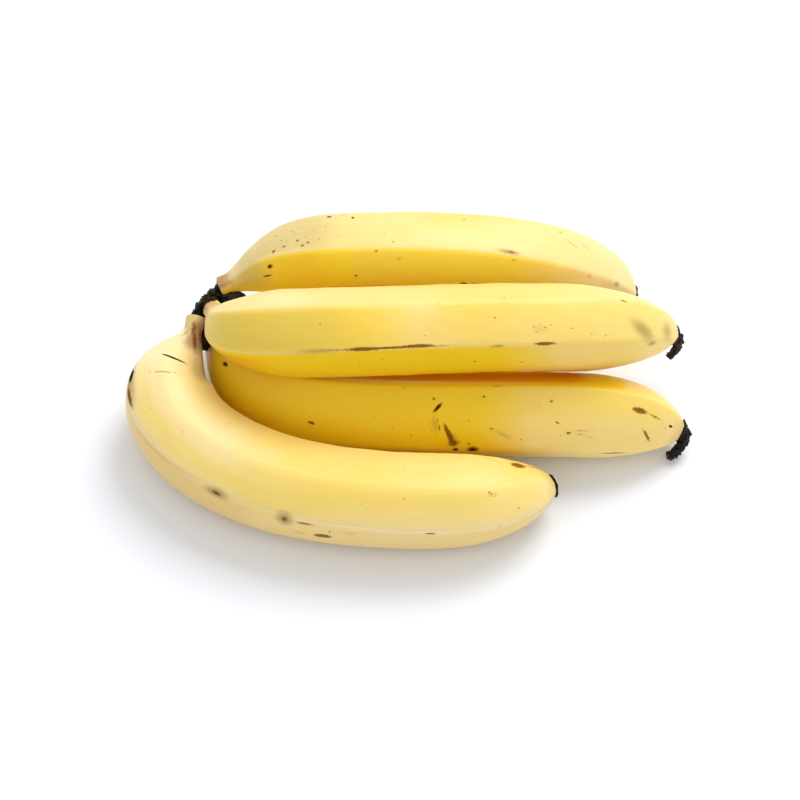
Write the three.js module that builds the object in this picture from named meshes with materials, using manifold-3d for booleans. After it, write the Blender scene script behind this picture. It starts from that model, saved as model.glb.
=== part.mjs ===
// A bunch of four ripe bananas lying on a table: four fingers that grow from one
// dried crown, and the dark dried blossom end at the tip of each finger.
// Millimetres, +Z up. The fingers run along +X from the crown, the back finger
// lies towards +Y and the front one, which rests flat on the table, towards -Y.
// The points below are taken from the crown's neighbourhood; ORIGIN moves the
// finished bunch so that the middle of its footprint on the table is (0, 0, 0).

import * as THREE from 'three';
import { mergeVertices } from 'three/addons/utils/BufferGeometryUtils.js';
import Module from 'manifold-3d';

// Driving dimensions, mm.

// Where the middle of the footprint and the table top are in the points below.
const ORIGIN = new THREE.Vector3( 3.4, 52.3, 1.5 );

// Girth. A full dessert banana is near 38 mm across its edges.
const NECK_RADIUS = 4.4; // where a neck leaves the crown
const NUB_RADIUS = 4.0; // blunt end that carries the blossom remnant
const FLATNESS = 0.5; // 0 is a round finger, 1 has five flat faces
const CRISPNESS = 20; // how narrow the edges between the faces are
const GAP = 0.35; // clearance between two pieces that meet

// Each finger: centre line from crown to tip, largest radius, share of it that is
// lost evenly from crown to tip, length of the even stalk, length over which the
// neck widens after it, length over which the tip closes, the turn of its five
// edges, in degrees round the centre line from the outside of the bend, and the
// further turn that the edges have at the crown and lose towards the tip.
const FINGERS = {
	back: {
		path: [
			[ - 72.5, 95, 31 ], [ - 61, 98.5, 34.5 ], [ - 46, 100.5, 43 ], [ - 8, 99, 48 ],
			[ 33, 100, 46 ], [ 74.5, 104, 29 ], [ 96, 109.5, 6 ],
		],
		radius: 17.6, slim: 0, stalk: 4, flare: 47, taper: 56,
		edges: [ - 33, 39, 111, 183, 255 ], twist: 0,
	},
	top: {
		path: [
			[ - 76, 86, 31 ], [ - 70.5, 73.8, 37 ], [ - 59, 57, 51.6 ], [ - 24, 54.6, 56.8 ],
			[ 17, 59, 53 ], [ 54, 60.5, 52.4 ], [ 87, 65.8, 43.6 ], [ 108, 73.5, 29 ],
		],
		radius: 18.9, slim: 0.02, stalk: 6, flare: 54, taper: 53,
		edges: [ - 10, 46, 116, 184, 254 ], twist: 0,
	},
	under: {
		path: [
			[ - 76.5, 84, 20 ], [ - 72, 72, 17.4 ], [ - 60, 56.4, 16.4 ], [ - 28, 45.4, 19.6 ],
			[ 15, 43, 20.2 ], [ 61, 43.2, 20.4 ], [ 93, 42.8, 18.2 ], [ 111, 39.3, 11.5 ],
		],
		radius: 19.3, slim: 0, stalk: 3, flare: 56, taper: 42,
		edges: [ - 9, - 66, - 118, - 178, 75 ], twist: 0,
	},
	front: {
		path: [
			[ - 82, 81, 29 ], [ - 83, 71.5, 27 ], [ - 94, 54, 20.5 ], [ - 85.5, 30.5, 19.2 ],
			[ - 54, 10.5, 19.5 ], [ - 15, 2.6, 19.5 ], [ 35, 2.5, 18.8 ], [ 58.6, 12, 15 ],
		],
		radius: 20.8, slim: 0.07, stalk: 6, flare: 37, taper: 48,
		edges: [ 132, 70, 25, - 52, - 132 ], twist: 30,
	},
};

// Crown: a thick dried pad that joins the four necks, longer than it is wide.
const CROWN = {
	path: [
		[ - 70.5, 97.5, 32 ], [ - 73, 93.5, 29 ], [ - 77, 89, 25.8 ], [ - 81, 84.5, 24.8 ],
		[ - 82.5, 81.5, 25.5 ],
	],
	halfHeight: [ 2.0, 5.0, 8.0, 8.5, 4.5 ],
	halfWidth: [ 1.4, 2.2, 2.7, 2.8, 2.0 ],
};

// A dried lobe of the crown under the back finger's neck: middle, and half sizes
// along the neck, across it and up.
const LOBE = { middle: [ - 67.2, 90.8, 29 ], half: [ 6, 3.4, 4.5 ], turn: 20 };

// Blossom ends: a dark cap on the blunt tip, and on two fingers a dried strand
// that curls back under it. Points and radii of the strand.
const CAP_RADIUS = 4.4;
const CAP_THICKNESS = 1.3;
const STRANDS = {
	top: {
		path: [
			[ 109, 73.8, 28.4 ], [ 111.5, 73, 27.5 ], [ 112, 71.8, 25.5 ], [ 110.5, 70, 22.5 ],
			[ 107.9, 68, 20 ],
		],
		radii: [ 2.0, 1.8, 1.6, 1.7, 1.3 ],
	},
	under: {
		path: [
			[ 112, 40, 11.8 ], [ 113.5, 38.5, 10.5 ], [ 113, 36.2, 8.3 ], [ 111, 33.6, 6 ],
			[ 108.3, 31.8, 4.6 ], [ 106.3, 31.4, 4.6 ],
		],
		radii: [ 2.2, 2.0, 1.9, 2.0, 2.0, 1.6 ],
	},
};

// Mesh fineness.
const FINGER_RINGS = 46;
const FINGER_SIDES = 20;

// Colours and finishes.

const PEEL = new THREE.MeshStandardMaterial( { color: 0xf0dc80, roughness: 0.5, metalness: 0 } );
const DRIED_CROWN = new THREE.MeshStandardMaterial( { color: 0x241b15, roughness: 0.7, metalness: 0 } );
const DRIED_BLOSSOM = new THREE.MeshStandardMaterial( { color: 0x33271d, roughness: 0.85, metalness: 0 } );

// Curves and surfaces.

// Smooth curve steered by the given points: a uniform cubic B-spline that starts
// at the first point and ends at the last, sampled at n places.
function centreLine( points, n ) {

	const p = points.map( ( q ) => new THREE.Vector3( ...q ) );
	const last = p.length - 1;
	const before = p[ 0 ].clone().multiplyScalar( 2 ).sub( p[ 1 ] );
	const after = p[ last ].clone().multiplyScalar( 2 ).sub( p[ last - 1 ] );
	const all = [ before, ...p, after ];
	const spans = all.length - 3;
	const curve = [];
	for ( let k = 0; k < n; k ++ ) {

		const t = k / ( n - 1 ) * spans;
		const i = Math.min( Math.floor( t ), spans - 1 );
		const u = t - i;
		const weights = [
			( 1 - u ) ** 3,
			3 * u ** 3 - 6 * u ** 2 + 4,
			- 3 * u ** 3 + 3 * u ** 2 + 3 * u + 1,
			u ** 3,
		];
		const q = new THREE.Vector3();
		weights.forEach( ( w, j ) => q.addScaledVector( all[ i + j ], w / 6 ) );
		curve.push( q );

	}

	return curve;

}

// Points at the given fractions of the curve's length, and that length.
function alongCurve( curve, fractions ) {

	const distance = [ 0 ];
	for ( let i = 1; i < curve.length; i ++ ) {

		distance.push( distance[ i - 1 ] + curve[ i ].distanceTo( curve[ i - 1 ] ) );

	}

	const length = distance[ distance.length - 1 ];
	let i = 0;
	const places = fractions.map( ( fraction ) => {

		const s = fraction * length;
		while ( i < distance.length - 2 && distance[ i + 1 ] < s ) i ++;
		const u = ( s - distance[ i ] ) / ( distance[ i + 1 ] - distance[ i ] );
		return curve[ i ].clone().lerp( curve[ i + 1 ], u );

	} );
	return { places, length };

}

// Direction of travel at each place of a line.
function tangents( line ) {

	return line.map( ( p, i ) => {

		const next = line[ Math.min( i + 1, line.length - 1 ) ];
		const previous = line[ Math.max( i - 1, 0 ) ];
		return next.clone().sub( previous ).normalize();

	} );

}

// For each place: the direction towards the outside of the bend, and the one
// across it. The bend's axis is taken once for the whole line, so nothing twists.
function bendFrames( line ) {

	const along = tangents( line );
	const axis = new THREE.Vector3();
	for ( let i = 0; i < along.length - 1; i ++ ) {

		axis.add( along[ i ].clone().cross( along[ i + 1 ] ) );

	}

	axis.normalize();
	return along.map( ( t ) => {

		const out = t.clone().cross( axis ).normalize();
		const across = out.clone().cross( t ).normalize();
		return { out, across };

	} );

}

// Closed body from equal rings of points: sides between the rings and a fan on
// each end, all facing out.
function loft( rings ) {

	const sides = rings[ 0 ].length;
	const positions = rings.flat().flatMap( ( p ) => p.toArray() );
	const index = [];
	for ( let i = 0; i < rings.length - 1; i ++ ) {

		for ( let j = 0; j < sides; j ++ ) {

			const a = i * sides + j;
			const b = i * sides + ( j + 1 ) % sides;
			index.push( a, b + sides, b, a, a + sides, b + sides );

		}

	}

	const ends = [ rings[ 0 ], rings[ rings.length - 1 ] ];
	ends.forEach( ( ring, end ) => {

		const middle = ring.reduce( ( sum, p ) => sum.add( p ), new THREE.Vector3() ).divideScalar( sides );
		const centre = positions.length / 3;
		const first = end * ( rings.length - 1 ) * sides;
		positions.push( ...middle.toArray() );
		for ( let j = 0; j < sides; j ++ ) {

			const a = first + j;
			const b = first + ( j + 1 ) % sides;
			if ( end === 0 ) index.push( centre, a, b );
			else index.push( centre, b, a );

		}

	} );

	const geometry = new THREE.BufferGeometry();
	geometry.setAttribute( 'position', new THREE.Float32BufferAttribute( positions, 3 ) );
	geometry.setIndex( index );
	return geometry;

}

// Fingers.

// Corner radius at s mm from the crown: an even stalk, a neck that widens
// quickly, a body that slims a little, and a rounded tip that closes to the nub.
function fingerRadius( s, length, finger ) {

	const x = THREE.MathUtils.clamp( ( s - finger.stalk ) / finger.flare, 0, 1 );
	const girth = finger.radius * ( 1 - finger.slim * s / length );
	const body = NECK_RADIUS + ( girth - NECK_RADIUS ) * ( 1 - ( 1 - x ** 1.3 ) ** 2.6 );
	const y = THREE.MathUtils.clamp( ( s - length + finger.taper ) / finger.taper, 0, 1 );
	const full = ( 1 - y ** 2.3 ) ** 0.75;
	return NUB_RADIUS * ( 1 - full ) + body * full;

}

// Share of the corner radius that the peel reaches at one angle: 1 on an edge,
// less in the middle of the face between two edges.
function faceShare( angle, edges ) {

	const turn = 2 * Math.PI;
	const sorted = edges.map( ( e ) => THREE.MathUtils.euclideanModulo( e * Math.PI / 180, turn ) );
	sorted.sort( ( a, b ) => a - b );
	let sum = 0;
	sorted.forEach( ( edge, i ) => {

		const next = i + 1 < sorted.length ? sorted[ i + 1 ] : sorted[ 0 ] + turn;
		const middle = ( edge + next ) / 2;
		const half = ( next - edge ) / 2;
		sum += ( Math.max( 0, Math.cos( angle - middle ) ) / Math.cos( half ) ) ** CRISPNESS;

	} );
	return 1 - FLATNESS * ( 1 - sum ** ( - 1 / CRISPNESS ) );

}

// Rings of one finger, closer together at the neck and at the tip. `grow` swells
// the finger and lengthens its root, for the clearance cut out of the crown.
function fingerRings( finger, grow = 0 ) {

	const fractions = [];
	for ( let i = 0; i < FINGER_RINGS; i ++ ) {

		const u = i / ( FINGER_RINGS - 1 );
		fractions.push( u - 0.5 * Math.sin( 2 * Math.PI * u ) / ( 2 * Math.PI ) );

	}

	const { places, length } = alongCurve( centreLine( finger.path, 400 ), fractions );
	const frames = bendFrames( places );
	const rings = places.map( ( centre, i ) => {

		const r = fingerRadius( fractions[ i ] * length, length, finger );
		const turned = THREE.MathUtils.degToRad( finger.twist ) * ( 1 - fractions[ i ] ) ** 2;
		const { out, across } = frames[ i ];
		const ring = [];
		for ( let j = 0; j < FINGER_SIDES; j ++ ) {

			const angle = j / FINGER_SIDES * 2 * Math.PI;
			const reach = r * faceShare( angle - turned, finger.edges ) + grow;
			ring.push( centre.clone()
				.addScaledVector( out, reach * Math.cos( angle ) )
				.addScaledVector( across, reach * Math.sin( angle ) ) );

		}

		return ring;

	} );
	if ( grow > 0 ) {

		const back = tangents( places )[ 0 ].multiplyScalar( - grow );
		rings.unshift( rings[ 0 ].map( ( p ) => p.clone().add( back ) ) );

	}

	return rings;

}

// Joining and cutting.

const wasm = await Module();
wasm.setup();

function toSolid( geometry ) {

	const bare = geometry.clone();
	bare.deleteAttribute( 'normal' );
	bare.deleteAttribute( 'uv' );
	const merged = mergeVertices( bare, 1e-4 );
	return new wasm.Manifold( new wasm.Mesh( {
		numProp: 3,
		vertProperties: new Float32Array( merged.attributes.position.array ),
		triVerts: new Uint32Array( merged.index.array ),
	} ) );

}

function toGeometry( solid ) {

	const mesh = solid.getMesh();
	const geometry = new THREE.BufferGeometry();
	geometry.setAttribute( 'position', new THREE.Float32BufferAttribute( mesh.vertProperties, 3 ) );
	geometry.setIndex( Array.from( mesh.triVerts ) );
	return geometry;

}

// The weight of the bunch presses a small flat spot where a piece touches the
// table: all that is below the table top is taken off.
function restOnTable( solid ) {

	const block = new THREE.BoxGeometry( 400, 400, 20 );
	block.translate( 0, 50, ORIGIN.z - 10 );
	return solid.subtract( toSolid( block ) );

}

// Crown.

// Dried pad: oval sections standing along a short path, with the four necks'
// seats taken out so that each neck sits in the pad with a hair's clearance.
function crownSolid() {

	const stations = 15;
	const sides = 16;
	const line = centreLine( CROWN.path, stations );
	const along = tangents( line );
	const up = new THREE.Vector3( 0, 0, 1 );
	const last = CROWN.path.length - 1;
	const rings = line.map( ( centre, i ) => {

		const u = i / ( stations - 1 ) * last;
		const k = Math.min( Math.floor( u ), last - 1 );
		const height = THREE.MathUtils.lerp( CROWN.halfHeight[ k ], CROWN.halfHeight[ k + 1 ], u - k );
		const width = THREE.MathUtils.lerp( CROWN.halfWidth[ k ], CROWN.halfWidth[ k + 1 ], u - k );
		const across = up.clone().cross( along[ i ] ).normalize();
		const ring = [];
		for ( let j = 0; j < sides; j ++ ) {

			const angle = j / sides * 2 * Math.PI;
			const lump = 1 + 0.07 * Math.sin( 3 * angle + 1.7 * i ) + 0.05 * Math.cos( 5 * angle - i );
			ring.push( centre.clone()
				.addScaledVector( across, - width * lump * Math.cos( angle ) )
				.addScaledVector( up, height * lump * Math.sin( angle ) ) );

		}

		return ring;

	} );
	const lobe = new THREE.SphereGeometry( 1, 14, 10 );
	lobe.scale( ...LOBE.half );
	lobe.rotateZ( THREE.MathUtils.degToRad( LOBE.turn ) );
	lobe.translate( ...LOBE.middle );
	let solid = toSolid( loft( rings ) ).add( toSolid( lobe ) );
	for ( const finger of Object.values( FINGERS ) ) {

		solid = solid.subtract( toSolid( loft( fingerRings( finger, GAP ) ) ) );

	}

	return solid;

}

// Blossom ends.

// Low rounded cap standing a hair off the blunt tip of a finger.
function capSolid( finger ) {

	const rings = fingerRings( finger );
	const tip = rings[ rings.length - 1 ];
	const centre = tip.reduce( ( sum, p ) => sum.add( p ), new THREE.Vector3() ).divideScalar( tip.length );
	const line = centreLine( finger.path, 400 );
	const along = tangents( line )[ 399 ];
	const turn = new THREE.Quaternion().setFromUnitVectors( new THREE.Vector3( 0, 0, 1 ), along );
	const profile = [
		[ 0, 0 ], [ CAP_RADIUS * 0.92, 0 ], [ CAP_RADIUS, 0.3 * CAP_THICKNESS ],
		[ CAP_RADIUS * 0.86, 0.75 * CAP_THICKNESS ], [ CAP_RADIUS * 0.5, CAP_THICKNESS ], [ 0, CAP_THICKNESS ],
	];
	const cap = new THREE.LatheGeometry( profile.map( ( [ r, h ] ) => new THREE.Vector2( r, h ) ), 16 );
	cap.rotateX( Math.PI / 2 );
	cap.applyQuaternion( turn );
	cap.translate( ...centre.addScaledVector( along, GAP ).toArray() );
	return toSolid( cap );

}

// Dried strand: a thin tube of changing thickness along its path.
function strandSolid( strand ) {

	const stations = 12;
	const sides = 10;
	const line = centreLine( strand.path, stations );
	const frames = bendFrames( line );
	const last = strand.path.length - 1;
	const rings = line.map( ( centre, i ) => {

		const u = i / ( stations - 1 ) * last;
		const k = Math.min( Math.floor( u ), last - 1 );
		const r = THREE.MathUtils.lerp( strand.radii[ k ], strand.radii[ k + 1 ], u - k );
		const { out, across } = frames[ i ];
		const ring = [];
		for ( let j = 0; j < sides; j ++ ) {

			const angle = j / sides * 2 * Math.PI;
			ring.push( centre.clone()
				.addScaledVector( out, r * Math.cos( angle ) )
				.addScaledVector( across, r * Math.sin( angle ) ) );

		}

		return ring;

	} );
	return toSolid( loft( rings ) );

}

// A cap with its strand, kept clear of the finger that it hangs on.
function blossomEndSolid( name ) {

	let solid = capSolid( FINGERS[ name ] );
	if ( STRANDS[ name ] ) {

		solid = solid.add( strandSolid( STRANDS[ name ] ) );
		solid = solid.subtract( toSolid( loft( fingerRings( FINGERS[ name ], GAP ) ) ) );

	}

	return solid;

}

// Assembly.

const group = new THREE.Group();

function place( name, solid, material ) {

	const geometry = toGeometry( solid );
	geometry.translate( - ORIGIN.x, - ORIGIN.y, - ORIGIN.z );
	geometry.computeVertexNormals();
	const mesh = new THREE.Mesh( geometry, material );
	mesh.name = name;
	group.add( mesh );

}

place( 'crown', crownSolid(), DRIED_CROWN );
for ( const name of Object.keys( FINGERS ) ) {

	place( `banana_${ name }`, restOnTable( toSolid( loft( fingerRings( FINGERS[ name ] ) ) ) ), PEEL );
	place( `blossom_end_${ name }`, restOnTable( blossomEndSolid( name ) ), DRIED_BLOSSOM );

}

export default group;
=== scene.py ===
"""A bunch of four ripe bananas with a dried crown, on a white studio floor.

The fingers follow the same centre lines, girths and edges as the solids. All lengths are in
millimetres on a bench frame and are turned to metres in the frame of the solids at the end.
"""

import logging
import math
from dataclasses import dataclass, field
from enum import Enum
from typing import Any

import bpy
import numpy as np
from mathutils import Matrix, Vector


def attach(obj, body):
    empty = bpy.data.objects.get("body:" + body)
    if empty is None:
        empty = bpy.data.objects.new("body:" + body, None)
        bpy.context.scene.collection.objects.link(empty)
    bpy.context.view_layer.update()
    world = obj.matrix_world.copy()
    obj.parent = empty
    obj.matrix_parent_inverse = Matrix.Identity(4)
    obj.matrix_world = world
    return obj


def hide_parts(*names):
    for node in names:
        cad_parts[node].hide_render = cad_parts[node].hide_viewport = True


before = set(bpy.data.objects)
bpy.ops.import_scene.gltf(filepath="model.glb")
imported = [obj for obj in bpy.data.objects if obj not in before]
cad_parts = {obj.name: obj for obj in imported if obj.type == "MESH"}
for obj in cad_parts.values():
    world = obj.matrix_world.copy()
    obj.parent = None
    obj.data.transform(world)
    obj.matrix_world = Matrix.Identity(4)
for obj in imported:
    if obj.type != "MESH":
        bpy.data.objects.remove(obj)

Point = tuple[float, float, float]
Colour = tuple[float, float, float, float]
Socket = bpy.types.NodeSocket

LOG = logging.getLogger("bananas")
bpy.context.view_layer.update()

# The middle of the footprint and the table top, in the bench frame of the points below.
ORIGIN = np.array([3.4, 52.3, 1.5])
MM = 0.001

NECK_RADIUS = 4.4
NUB_RADIUS = 4.0
# Exponents of the curves by which the neck swells and the tip closes.
SWELL = (1.3, 2.6)
CLOSE = (2.3, 0.75)
FLATNESS = 0.5
CRISPNESS = 20.0

# Points on a curve before it is cut into rings, and how far a finger's rings crowd at its ends.
CURVE_POINTS = 1600
END_CROWDING = 0.3
# How far the peel's ripples are sunk, in mm, so that they hardly pass the solid.
RELIEF_DEPTH = 0.1
# Radius in mm under which a mark's width is no longer measured on the skin.
LEAST_RADIUS = 6.0
# Share of a mark's half size at which it has faded to nothing.
MARK_REACH = 1.25
# Most of the deep golden tint, painted shade where fingers touch, at which the peel has lost all its wax.
CONTACT_SHADE_SHARE = 0.85


class Tone(Enum):
    """Kinds of mark on the peel, by the layer that carries them: blemishes, and one black mark of painted
    shade over the under finger's root.
    """

    BROWN = 0
    BLACK = 1
    BRUISE = 2


BROWN, BLACK, BRUISE = Tone


@dataclass(frozen=True)
class Mark:
    """One blemish on a finger's peel, or a patch of painted shade.

    along is its distance from the crown in mm and turn its angle round the finger in degrees.
    length and width are its size in mm, slant turns it from the finger's length in degrees,
    and depth from 0 to 1 says how strong it is.
    """

    along: float
    turn: float
    length: float
    width: float
    slant: float = 0.0
    tone: Tone = BROWN
    depth: float = 1.0


class Hue(Enum):
    """Colours that the peel takes in whole areas, by the layer that carries them.

    The golden hue is painted shade on the sides turned from the light and between the fingers. On the
    front finger's lower band the tan hue is painted reflection of the white floor.
    """

    SHADE_GOLD = 0
    TAN = 1
    GREEN = 2
    ROSE = 3


SHADE_GOLD, TAN, GREEN, ROSE = Hue


@dataclass(frozen=True)
class Area:
    """One area of a finger painted another colour than the rest: a tint of the peel, painted shade or
    painted reflection.

    turn holds the angles round the finger between which it lies, in degrees and rising, at the
    tip: nearer the crown they turn with the edges. along holds its distances from the crown in
    mm. soft and fade are the widths of its borders in degrees and in mm, and depth from 0 to 1
    says how strong it is.
    """

    hue: Hue
    turn: tuple[float, float]
    along: tuple[float, float]
    soft: float = 6.0
    fade: float = 20.0
    depth: float = 1.0


def unit(vectors: np.ndarray) -> np.ndarray:
    """Vectors along the last axis, scaled to length one.

    Args:
        vectors: array whose last axis holds x, y and z.

    Returns:
        The array of unit vectors.
    """
    return vectors / np.linalg.norm(vectors, axis=-1, keepdims=True)


def spline(points: list[Point], count: int) -> np.ndarray:
    """Smooth curve steered by points: a uniform cubic B-spline whose ends are mirrored.

    Mirroring the second point about the first makes the curve start on the first point. Each
    place on the curve is the sum of four neighbouring points with the cubic B-spline weights.

    Args:
        points: steering points in mm.
        count: number of places on the curve.

    Returns:
        Array of shape (count, 3).
    """
    p = np.asarray(points, float)
    p = np.vstack([2 * p[0] - p[1], p, 2 * p[-1] - p[-2]])
    spans = len(p) - 3
    t = np.linspace(0, spans, count)
    i = np.minimum(t.astype(int), spans - 1)
    u = (t - i)[:, None]
    return (
        (1 - u) ** 3 * p[i]
        + (3 * u**3 - 6 * u**2 + 4) * p[i + 1]
        + (-3 * u**3 + 3 * u**2 + 3 * u + 1) * p[i + 2]
        + u**3 * p[i + 3]
    ) / 6


def along_curve(curve: np.ndarray, fractions: np.ndarray) -> tuple[np.ndarray, float]:
    """Places at given fractions of a curve's length, by linear steps between its points.

    Args:
        curve: points of the curve, shape (n, 3).
        fractions: values from 0 to 1.

    Returns:
        The places, shape (len(fractions), 3), and the curve's length in mm.
    """
    steps = np.linalg.norm(np.diff(curve, axis=0), axis=1)
    s = np.concatenate([[0.0], np.cumsum(steps)])
    places = np.stack([np.interp(fractions * s[-1], s, curve[:, k]) for k in range(3)], 1)
    return places, float(s[-1])


def bend_frames(line: np.ndarray) -> tuple[np.ndarray, np.ndarray, np.ndarray]:
    """Directions along a line, to the outside of its bend, and across both.

    The bend's axis is the mean of the cross products of neighbouring directions. The outside
    is the direction of travel crossed with that axis, so the frames don't twist.

    Args:
        line: points in mm, shape (n, 3).

    Returns:
        Three arrays of unit vectors, each of shape (n, 3).
    """
    travel = unit(np.gradient(line, axis=0))
    axis = unit(np.cross(travel[:-1], travel[1:]).sum(0))
    out = unit(np.cross(travel, axis))
    return travel, out, unit(np.cross(out, travel))


def turns(count: int) -> np.ndarray:
    """Even angles all round, in radians."""
    return np.linspace(0, 2 * np.pi, count, endpoint=False)


def wrapped(angles: np.ndarray) -> np.ndarray:
    """Angles in radians turned into the range from -pi to pi."""
    return np.angle(np.exp(1j * angles))


def round_about(theta: np.ndarray, out: np.ndarray, across: np.ndarray) -> np.ndarray:
    """Directions round a line: cosine of the angle outwards plus its sine across.

    Args:
        theta: angles in radians, shape (sides,).
        out: directions to the outside of the bend, shape (rings, 3).
        across: directions across, shape (rings, 3).

    Returns:
        Array of shape (rings, sides, 3).
    """
    return np.cos(theta)[:, None] * out[:, None] + np.sin(theta)[:, None] * across[:, None]


def ripple(points: np.ndarray, size: float, seed: int, waves: int = 14) -> np.ndarray:
    """Soft random relief from about -1 to 1.

    It is the sum of sine waves in random directions and phases, whose lengths lie round the
    given size, divided by the square root of half their number and by two.

    Args:
        points: array whose last axis holds x, y and z in mm.
        size: mean wavelength in mm.
        seed: number that fixes the waves.
        waves: number of waves.

    Returns:
        Array of the points' shape without the last axis.
    """
    rng = np.random.default_rng(seed)
    way = unit(rng.normal(size=(waves, 3)))
    way = way * (2 * math.pi / (size * rng.uniform(0.7, 1.4, (waves, 1))))
    phase = rng.uniform(0, 2 * math.pi, waves)
    return np.sin(points @ way.T + phase).sum(-1) / math.sqrt(waves / 2) / 2


def lumps(points: np.ndarray, seed: int, *ripples: tuple[float, float], stride: int = 1) -> np.ndarray:
    """Relief of several ripples of falling size.

    Args:
        points: array whose last axis holds x, y and z in mm.
        seed: number that fixes the first ripple.
        ripples: height and size of each ripple in mm.
        stride: step from one ripple's seed to the next one's.

    Returns:
        Heights in mm, of the points' shape without the last axis.
    """
    return sum(h * ripple(points, size, seed + stride * i) for i, (h, size) in enumerate(ripples))


def step(low: float, high: float, values: np.ndarray) -> np.ndarray:
    """Smooth step: 0 below low, 1 above high, and 3x^2 - 2x^3 in between.

    Args:
        low: value where the step starts.
        high: value where it ends.
        values: array of values.

    Returns:
        Array of the same shape, from 0 to 1.
    """
    x = np.clip((values - low) / (high - low), 0, 1)
    return x * x * (3 - 2 * x)


def face_share(theta: np.ndarray, edges: tuple[float, ...], flatness: float) -> np.ndarray:
    """Share of the corner radius that a rounded polygon reaches at each angle.

    Each flat face gives cos(angle - middle) / cos(half width). Raised to the power CRISPNESS,
    summed and rooted, they make one polygon whose corners are rounded and lie at radius 1.

    Args:
        theta: angles in radians.
        edges: angles of the polygon's corners in degrees.
        flatness: 0 for a circle, 1 for the full polygon.

    Returns:
        Array of the angles' shape.
    """
    corner = np.radians(np.sort(np.mod(edges, 360)))
    following = np.append(corner[1:], corner[0] + 2 * np.pi)
    middle, half = (corner + following) / 2, (following - corner) / 2
    reach = np.maximum(0, np.cos(theta[..., None] - middle)) / np.cos(half)
    return 1 - flatness * (1 - (reach**CRISPNESS).sum(-1) ** (-1 / CRISPNESS))


def link_object(name: str, data: bpy.types.ID) -> bpy.types.Object:
    """New object of the scene that shows some data."""
    obj = bpy.data.objects.new(name, data)
    bpy.context.scene.collection.objects.link(obj)
    return obj


def make_object(name: str, grids: list[np.ndarray]) -> bpy.types.Object:
    """Join closed grids into one smooth mesh object in the frame of the solids.

    Every grid holds rings of points. Neighbouring rings are joined by quads whose corners run
    a, a in the next ring, b in the next ring, b, and each end ring by a fan to its mean point.

    Args:
        name: name of the object.
        grids: arrays of shape (rings, sides, 3) in mm.

    Returns:
        The object, linked to the scene.
    """
    corners, faces, start = [], [], 0
    for grid in grids:
        rings, sides = grid.shape[:2]
        index = np.arange(rings * sides).reshape(rings, sides) + start
        a, b = index, np.roll(index, -1, axis=1)
        quads = np.stack([a[:-1], a[1:], b[1:], b[:-1]], -1).reshape(-1, 4)
        first, last = start + rings * sides, start + rings * sides + 1
        fan0 = np.stack([np.full(sides, first), a[0], b[0]], -1)
        fan1 = np.stack([np.full(sides, last), b[-1], a[-1]], -1)
        corners += [grid.reshape(-1, 3), grid[:1].mean(1), grid[-1:].mean(1)]
        faces += quads.tolist() + fan0.tolist() + fan1.tolist()
        start += rings * sides + 2
    mesh = bpy.data.meshes.new(name)
    mesh.from_pydata(((np.vstack(corners) - ORIGIN) * MM).tolist(), [], faces)
    mesh.update()
    mesh.shade_smooth()
    return link_object(name, mesh)


def put_layer(obj: bpy.types.Object, name: str, values: np.ndarray) -> None:
    """Store one vector or colour per vertex on a mesh.

    Args:
        obj: the object whose mesh takes the layer.
        name: name of the layer.
        values: array of shape (vertices, 3) or (vertices, 4).
    """
    kind, key = ("FLOAT_VECTOR", "vector") if values.shape[1] == 3 else ("FLOAT_COLOR", "color")
    layer = obj.data.attributes.new(name, kind, "POINT")
    layer.data.foreach_set(key, values.astype(np.float32).ravel())


def linear(colour: str) -> Colour:
    """Linear RGBA of an sRGB hex colour such as "#F0DC80".

    Args:
        colour: the hex colour.

    Returns:
        Red, green, blue and an alpha of one.
    """
    c = np.array([int(colour[i : i + 2], 16) / 255 for i in (1, 3, 5)])
    c = np.where(c <= 0.04045, c / 12.92, ((c + 0.055) / 1.055) ** 2.4)
    return (float(c[0]), float(c[1]), float(c[2]), 1.0)


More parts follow.
